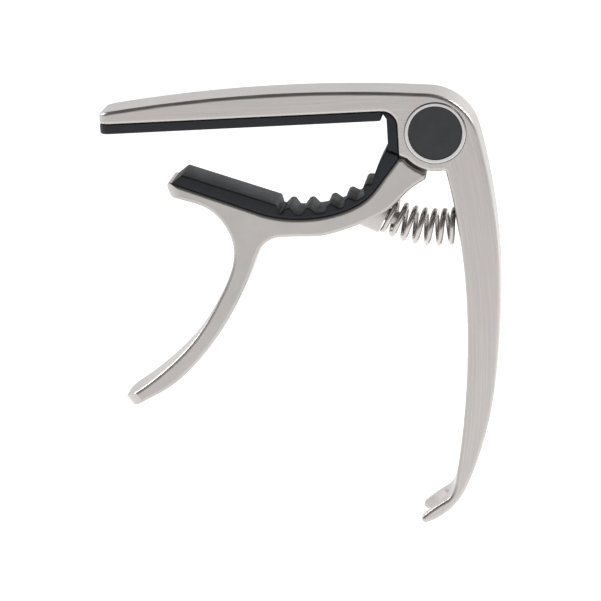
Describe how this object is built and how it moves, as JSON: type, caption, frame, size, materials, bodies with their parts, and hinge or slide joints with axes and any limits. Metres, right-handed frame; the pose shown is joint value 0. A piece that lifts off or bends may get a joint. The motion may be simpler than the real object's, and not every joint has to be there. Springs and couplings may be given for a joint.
{
  "type": "guitar capo",
  "caption": "Spring guitar capo: a padded bar presses the strings, a hinged padded jaw cradles the neck, and two handles squeezed together open it; the rear handle ends in a bridge-pin fork.",
  "frame": {"origin": "middle of the string pad's clamping face", "axes": "+X along the bar towards the pivot, +Y to the back of the capo, +Z away from the strings"},
  "size_m": [0.0762, 0.0128, 0.0869],
  "materials": {
    "satin_nickel": "satin nickel on a zinc casting, brushed lengthwise",
    "blasted_nickel": "fine satin nickel on a zinc casting",
    "rubber": "matt moulded rubber",
    "spring_wire": "bright nickel on spring wire",
    "pin_steel": "turned steel",
    "bronze": "plain bearing bronze",
    "nylon": "natural nylon",
    "cap_metal": "satin",
    "cap_face": "smooth dark resin",
    "glue": "set adhesive"
  },
  "bodies": {
    "arm": {"string_arm": "satin_nickel", "string_pad": "rubber", "throat_pad": "rubber", "return_spring": "spring_wire", "pivot_barrel": "pin_steel", "pivot_screw": "pin_steel", "front_thrust_washer": "nylon", "rear_thrust_washer": "nylon", "front_cap_ring": "cap_metal", "rear_cap_ring": "cap_metal", "front_cap_insert": "cap_face", "rear_cap_insert": "cap_face", "front_cap_glue": "glue", "rear_cap_glue": "glue"},
    "jaw": {"neck_jaw": "blasted_nickel", "neck_pad": "rubber", "jaw_bush": "bronze"}
  },
  "joints": [
    {"name": "jaw_pivot", "type": "hinge", "parent": "arm", "child": "jaw", "pos_m": [0.03768, 0, -0.00271], "axis": [0, -1, 0], "range_deg": [0, 22], "stiffness_Nm_per_rad": 3.2, "springref_deg": -14.32, "deforming": ["return_spring"]}
  ]
}
